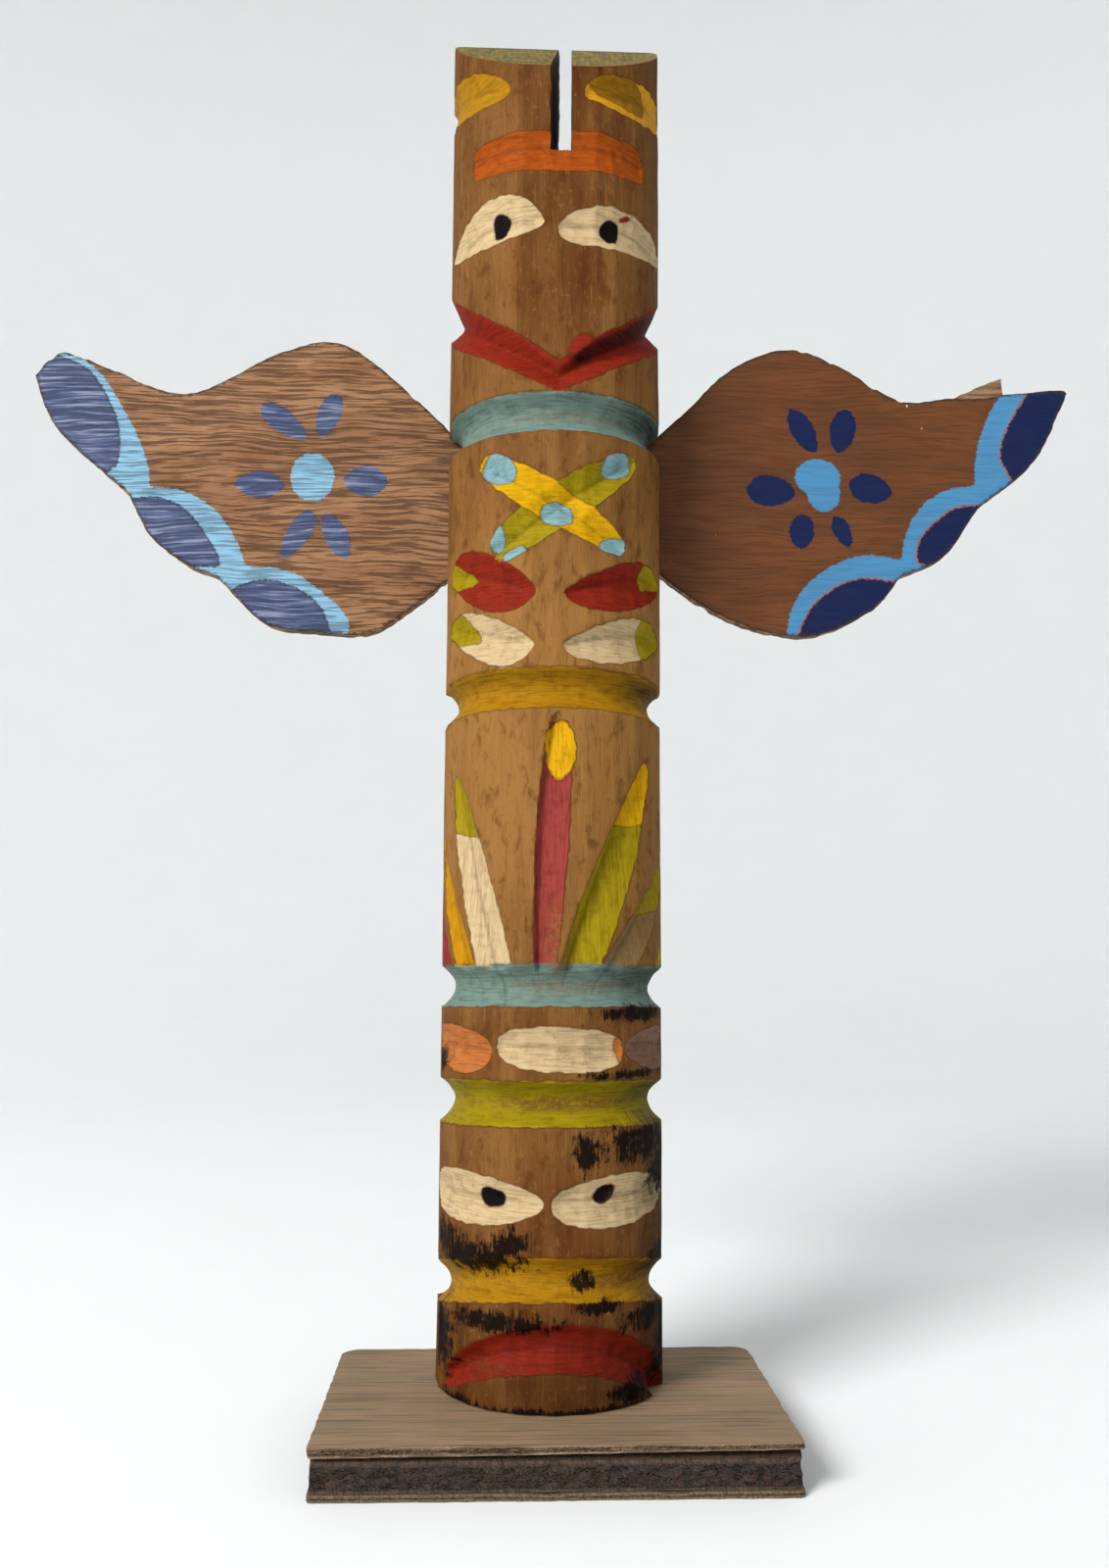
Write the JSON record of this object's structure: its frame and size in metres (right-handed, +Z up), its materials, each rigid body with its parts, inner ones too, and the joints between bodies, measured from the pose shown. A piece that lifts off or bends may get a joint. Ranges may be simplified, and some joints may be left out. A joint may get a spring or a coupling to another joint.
{
  "type": "totem pole",
  "caption": "Small carved and painted wooden totem pole with spread plywood wings, standing on a rectangular plywood base as a shelf ornament.",
  "frame": {"origin": "middle of the base's underside, where it stands on a surface", "axes": "+Z up along the pole, -Y the way the carved face looks, +X to the right of someone who looks at the face"},
  "size_m": [0.2392, 0.06, 0.3075],
  "materials": {
    "greyed_plywood": "weathered, unfinished",
    "carved_wood": "stained, thin satin varnish, hand-painted cuts",
    "painted_plywood": "stained, hand-painted feathers"
  },
  "bodies": {
    "root": {"base": "greyed_plywood", "pole": "carved_wood", "wings": "painted_plywood"}
  },
  "joints": []
}
